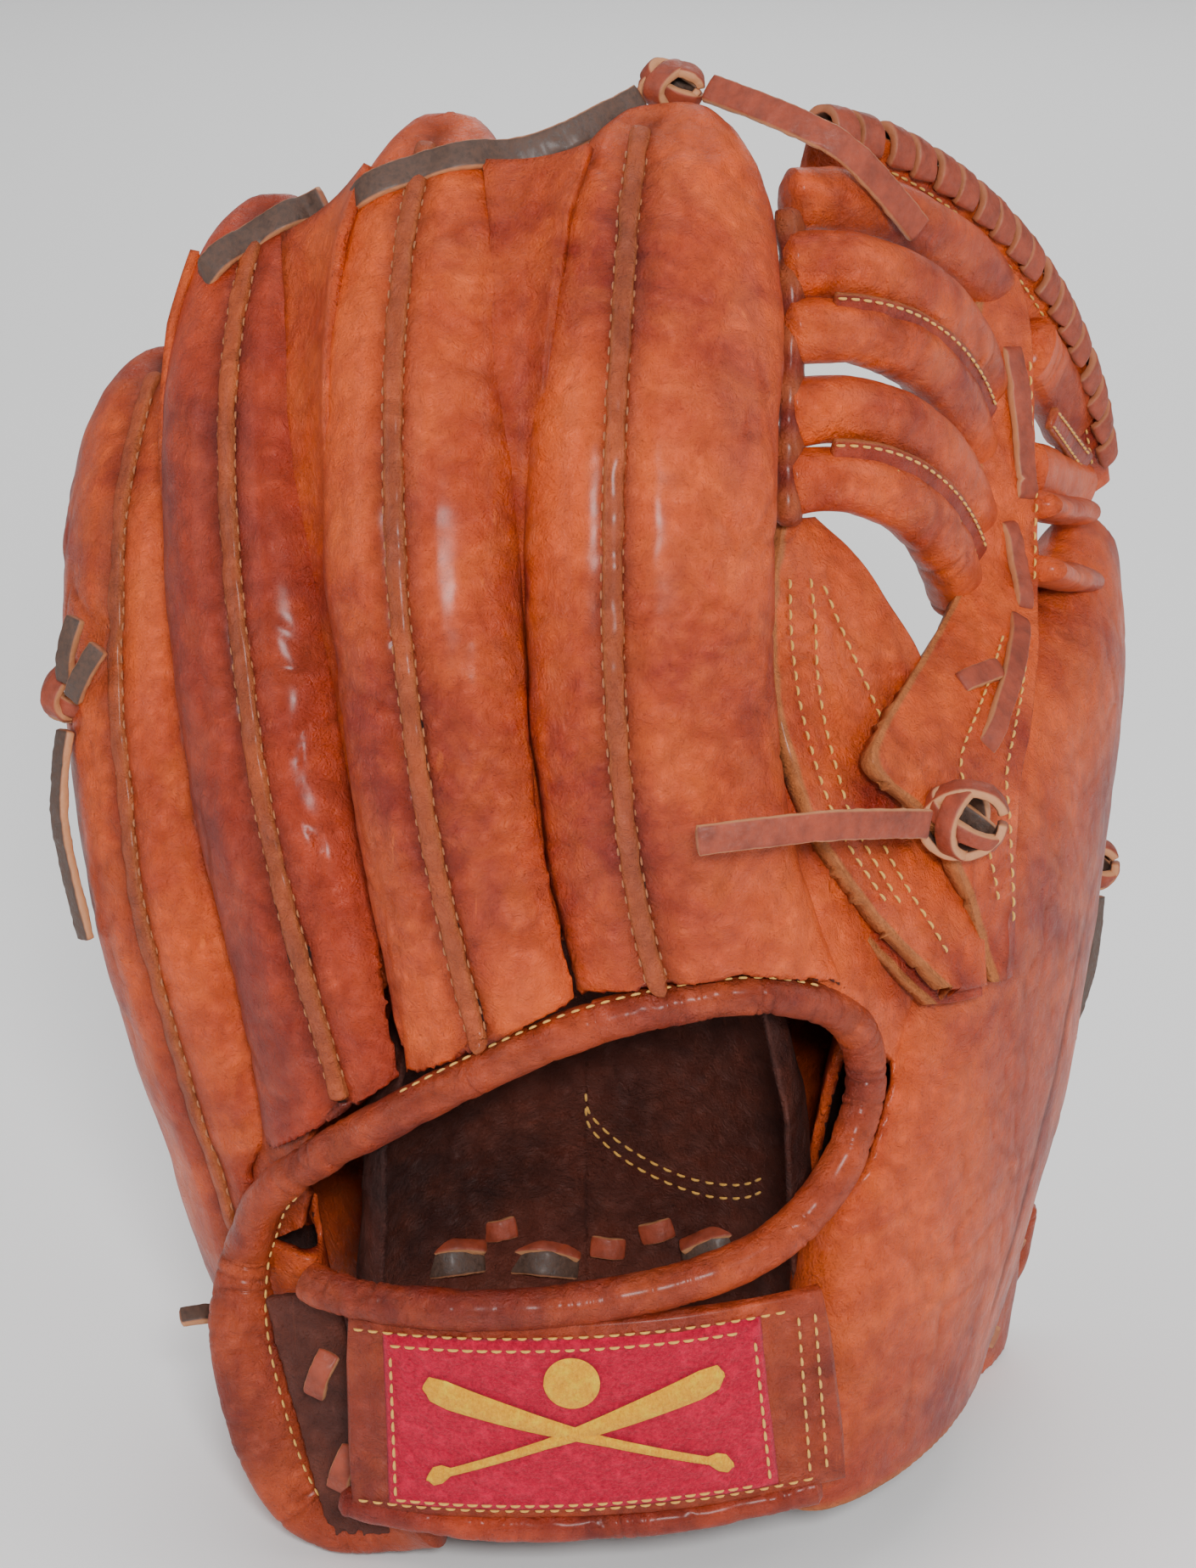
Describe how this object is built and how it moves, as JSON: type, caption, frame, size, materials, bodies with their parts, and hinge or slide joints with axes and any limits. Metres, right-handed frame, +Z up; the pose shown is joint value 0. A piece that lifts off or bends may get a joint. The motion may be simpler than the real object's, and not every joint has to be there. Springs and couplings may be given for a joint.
{
  "type": "baseball glove",
  "caption": "Left-hand fielder's baseball glove with padded finger stalls, a barred web, a back opening with a rolled edge, a palm pocket and a wrist strap.",
  "frame": {"origin": "middle of the flat underside of the palm heel, on the surface the glove stands on", "axes": "+Z up along the fingers; +Y out of the ball pocket, so the back of the hand faces -Y; +X towards the thumb"},
  "size_m": [0.2217, 0.1751, 0.2885],
  "materials": {
    "tan_leather": "glossy, worn, orange-tan full-grain leather",
    "dark_leather": "glossy, worn, red-brown full-grain leather",
    "binding_leather": "rolled and creased brown leather",
    "lining_leather": "matt, dark reddish-brown lining leather",
    "lace": "rawhide lace, red-brown on one side and grey-brown on the other",
    "felt": "pressed wool felt",
    "label_felt": "deep red felt with yellow embroidery"
  },
  "bodies": {
    "palm": {"index_stall": "tan_leather", "index_stiffener": "felt", "index_welt": "binding_leather", "middle_stall": "tan_leather", "middle_stiffener": "felt", "middle_welt": "binding_leather", "palm_shell": "tan_leather", "palm_felt": "felt", "palm_lining": "lining_leather", "palm_heel_pad": "tan_leather", "opening_binding": "binding_leather", "index_edge_strip": "tan_leather", "tip_lace": "lace", "heel_lace": "lace", "tip_knot": "lace", "tip_tail": "lace"},
    "pinky_side": {"ring_stall": "dark_leather", "ring_stiffener": "felt", "ring_welt": "binding_leather", "pinky_stall": "tan_leather", "pinky_stiffener": "felt", "pinky_welt": "binding_leather", "pinky_palm_panel": "tan_leather", "pinky_heel_pad": "tan_leather", "pinky_heel_flap": "tan_leather", "pinky_binding": "binding_leather", "pinky_heel_binding": "binding_leather", "ring_tip_lace": "lace", "pinky_knot": "lace", "pinky_tail": "lace"},
    "thumb_side": {"thumb_stall": "tan_leather", "thumb_stiffener": "felt", "thumb_crotch_panel": "tan_leather", "thumb_palm_panel": "tan_leather", "thumb_heel_pad": "tan_leather", "thumb_binding": "binding_leather", "thumb_heel_binding": "binding_leather", "web_top_bar": "tan_leather", "web_upper_bar_top": "tan_leather", "web_upper_bar_low": "tan_leather", "web_lower_bar_top": "tan_leather", "web_lower_bar_low": "tan_leather", "web_thumb_bar_upper": "tan_leather", "web_thumb_bar_lower": "tan_leather", "web_post": "tan_leather", "web_base": "tan_leather", "web_rim": "tan_leather", "post_lace": "lace", "web_knot": "lace", "web_tail": "lace", "thumb_knot": "lace", "thumb_tail": "lace"},
    "wrist_strap": {"wrist_strap": "dark_leather", "strap_lining": "lining_leather", "label_patch": "label_felt", "strap_binding": "binding_leather", "strap_lower_binding": "binding_leather"}
  },
  "joints": [
    {"name": "thumb_close", "type": "hinge", "parent": "palm", "child": "thumb_side", "pos_m": [0.039, 0.0205, 0.142], "axis": [0.0156, 0.0817, 0.9965], "range_deg": [0, 9]},
    {"name": "pinky_close", "type": "hinge", "parent": "palm", "child": "pinky_side", "pos_m": [-0.043, 0.0265, 0.1355], "axis": [0.0248, -0.153, -0.9879], "range_deg": [0, 8]},
    {"name": "strap_open", "type": "hinge", "parent": "palm", "child": "wrist_strap", "pos_m": [0.043, -0.056, 0.048], "axis": [0, 0, 1], "range_deg": [0, 12]}
  ]
}
